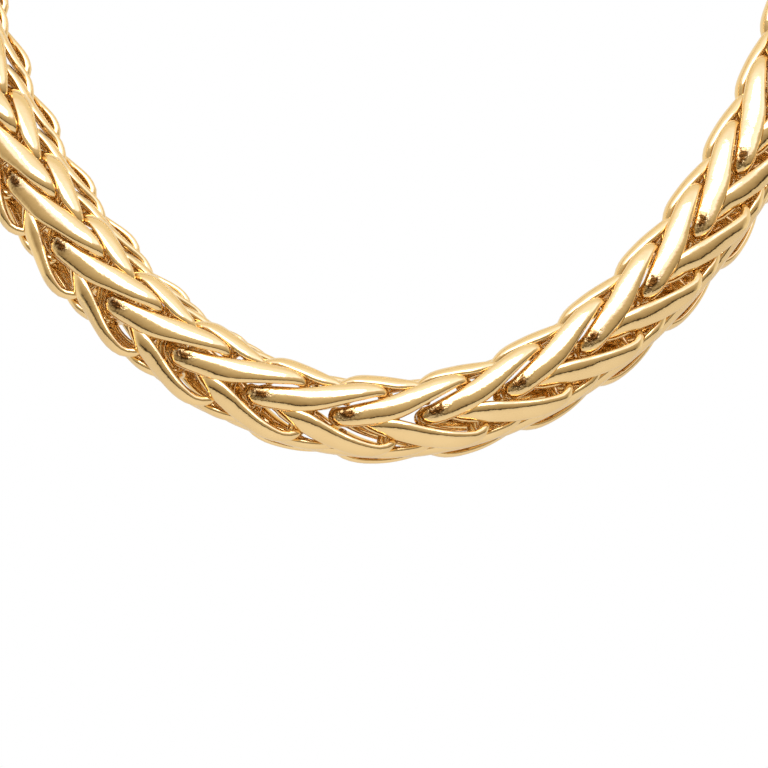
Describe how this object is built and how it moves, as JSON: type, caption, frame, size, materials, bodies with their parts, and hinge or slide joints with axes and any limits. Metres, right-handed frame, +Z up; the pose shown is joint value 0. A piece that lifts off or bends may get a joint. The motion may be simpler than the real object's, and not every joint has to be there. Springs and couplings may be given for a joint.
{
  "type": "wheat chain necklace",
  "caption": "Thick polished gold wheat chain necklace, a closed loop of woven figure-eight links with a plain barrel clasp at the nape",
  "frame": {"origin": "the underside of the clasp's middle, where the necklace rests on the nape or hangs on a hook", "axes": "+Z up, -Y towards the front of the wearer, +X towards the wearer's left, at the picture's right"},
  "size_m": [0.1196, 0.1212, 0.1519],
  "materials": {
    "link_gold": "polished yellow gold",
    "clasp_gold": "polished yellow gold"
  },
  "bodies": {
    "root": {"facing_links": "link_gold", "edge_links": "link_gold", "clasp": "clasp_gold"}
  },
  "joints": []
}
